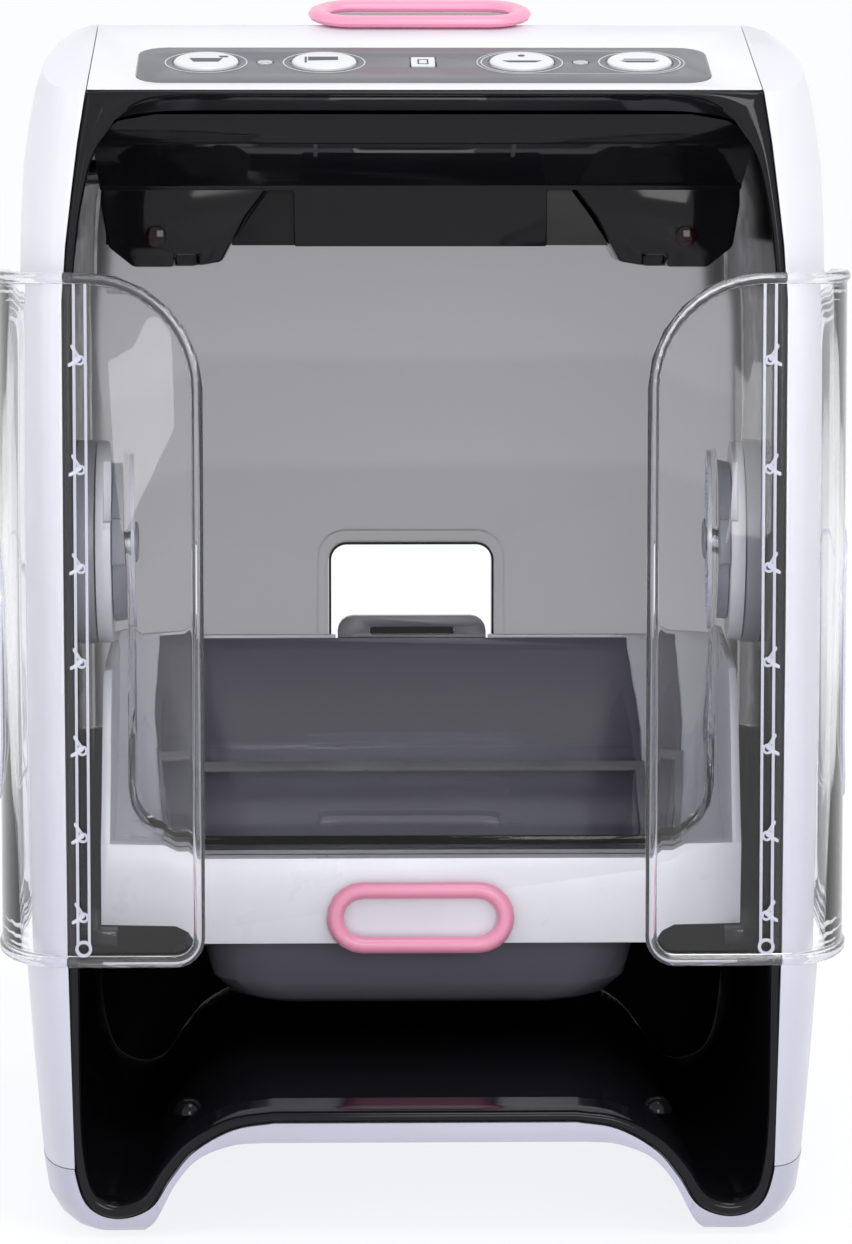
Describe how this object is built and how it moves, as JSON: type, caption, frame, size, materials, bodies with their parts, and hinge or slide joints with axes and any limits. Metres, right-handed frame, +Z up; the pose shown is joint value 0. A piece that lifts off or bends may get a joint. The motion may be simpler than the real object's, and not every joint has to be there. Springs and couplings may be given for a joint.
{
  "type": "automatic pet feeder",
  "caption": "Hooded walk-in pet feeder with a powered clear lid swinging on side hubs over a pull-out bowl tray, sloping key panel, clear side screens and smoked rear panel.",
  "frame": {"origin": "centre of the bounding box in plan, on the surface that the rubber feet stand on", "axes": "+Z up, -Y out of the front opening, +X to the right seen from the front"},
  "size_m": [0.2494, 0.299, 0.3575],
  "materials": {
    "white_shell": "satin white",
    "gloss_black": "high gloss smoked black",
    "white_fascia": "fine satin white",
    "grey_label": "printed satin film",
    "key_white": "satin",
    "clear_lens": "clear",
    "pink": "satin",
    "clear_plastic": "clear polished",
    "smoke_panel": "smoked translucent",
    "hub_grey": "satin",
    "white_tray": "satin white",
    "bowl_grey": "satin",
    "rubber": "matte",
    "seal": "matte",
    "steel": "plain",
    "gear_plastic": "moulded",
    "board": "solder mask",
    "copper": "wound copper wire",
    "cell_jacket": "printed sleeve",
    "sensor_dark": "dark red filter"
  },
  "bodies": {
    "housing": {"hood_shell": "white_shell", "base_tray": "white_shell", "front_bezel": "gloss_black", "rear_bezel": "gloss_black", "tunnel_liner": "gloss_black", "ceiling_housing": "gloss_black", "sensor_pod_left": "gloss_black", "sensor_pod_right": "gloss_black", "sensor_lens_left": "sensor_dark", "sensor_lens_right": "sensor_dark", "control_fascia": "white_fascia", "control_label": "grey_label", "status_light_left": "clear_lens", "status_light_right": "clear_lens", "battery_window": "clear_lens", "circuit_board": "board", "battery_tray": "hub_grey", "cell_contact_left": "steel", "cell_contact_right": "steel", "antenna_coil": "copper", "idler_shaft": "steel", "gear_motor": "steel", "bearing_flange_left": "hub_grey", "bearing_flange_right": "hub_grey", "bowl_carrier": "white_tray", "food_bowl": "bowl_grey", "grip_ring_front": "pink", "tray_rail_left": "gloss_black", "tray_rail_right": "gloss_black", "rear_panel": "smoke_panel", "rear_bulkhead": "gloss_black", "cell_1": "cell_jacket", "cell_2": "cell_jacket", "cell_3": "cell_jacket", "cell_4": "cell_jacket", "foot_front_left": "rubber", "foot_front_right": "rubber", "foot_rear_left": "rubber", "foot_rear_right": "rubber"},
    "lid": {"clear_lid": "clear_plastic", "lid_seal": "seal", "hub_disc_left": "white_tray", "hub_disc_right": "white_tray", "hub_boss_left": "hub_grey", "hub_boss_right": "hub_grey", "hinge_pin_left": "steel", "hinge_pin_right": "steel", "drive_gear": "gear_plastic"},
    "idler": {"idler_gear": "gear_plastic"},
    "pinion": {"motor_pinion": "gear_plastic"},
    "hatch": {"battery_hatch": "white_shell", "grip_ring_top": "pink"},
    "left_wing": {"wing_left": "clear_plastic"},
    "right_wing": {"wing_right": "clear_plastic"},
    "key_pet_body": {"key_pet": "key_white"},
    "key_training_body": {"key_training": "key_white"},
    "key_open_body": {"key_open": "key_white"},
    "key_close_body": {"key_close": "key_white"}
  },
  "joints": [
    {"name": "lid_hinge", "type": "hinge", "parent": "housing", "child": "lid", "pos_m": [0, -0.03, 0.195], "axis": [1, 0, 0], "range_deg": [0, 88]},
    {"name": "idler_spin", "type": "hinge", "parent": "housing", "child": "idler", "pos_m": [-0.109, -0.03, 0.264], "axis": [1, 0, 0], "range_deg": [-97, 1]},
    {"name": "pinion_spin", "type": "hinge", "parent": "housing", "child": "pinion", "pos_m": [-0.109, -0.03, 0.306], "axis": [1, 0, 0], "range_deg": [-1, 353]},
    {"name": "hatch_lift", "type": "slide", "parent": "housing", "child": "hatch", "axis": [0, 0, 1], "range_m": [0, 0.03]},
    {"name": "left_wing_unclip", "type": "slide", "parent": "housing", "child": "left_wing", "axis": [0, -1, 0], "range_m": [0, 0.03]},
    {"name": "right_wing_unclip", "type": "slide", "parent": "housing", "child": "right_wing", "axis": [0, -1, 0], "range_m": [0, 0.03]},
    {"name": "key_pet_press", "type": "slide", "parent": "housing", "child": "key_pet_body", "axis": [0, 0.2756, -0.9613], "range_m": [0, 0.0008], "stiffness_N_per_m": 600},
    {"name": "key_training_press", "type": "slide", "parent": "housing", "child": "key_training_body", "axis": [0, 0.2756, -0.9613], "range_m": [0, 0.0008], "stiffness_N_per_m": 600},
    {"name": "key_open_press", "type": "slide", "parent": "housing", "child": "key_open_body", "axis": [0, 0.2756, -0.9613], "range_m": [0, 0.0008], "stiffness_N_per_m": 600},
    {"name": "key_close_press", "type": "slide", "parent": "housing", "child": "key_close_body", "axis": [0, 0.2756, -0.9613], "range_m": [0, 0.0008], "stiffness_N_per_m": 600}
  ],
  "couplings": [
    {"joint": "idler_spin", "follows": "lid_hinge", "ratio": -1.0909},
    {"joint": "pinion_spin", "follows": "lid_hinge", "ratio": 4}
  ]
}
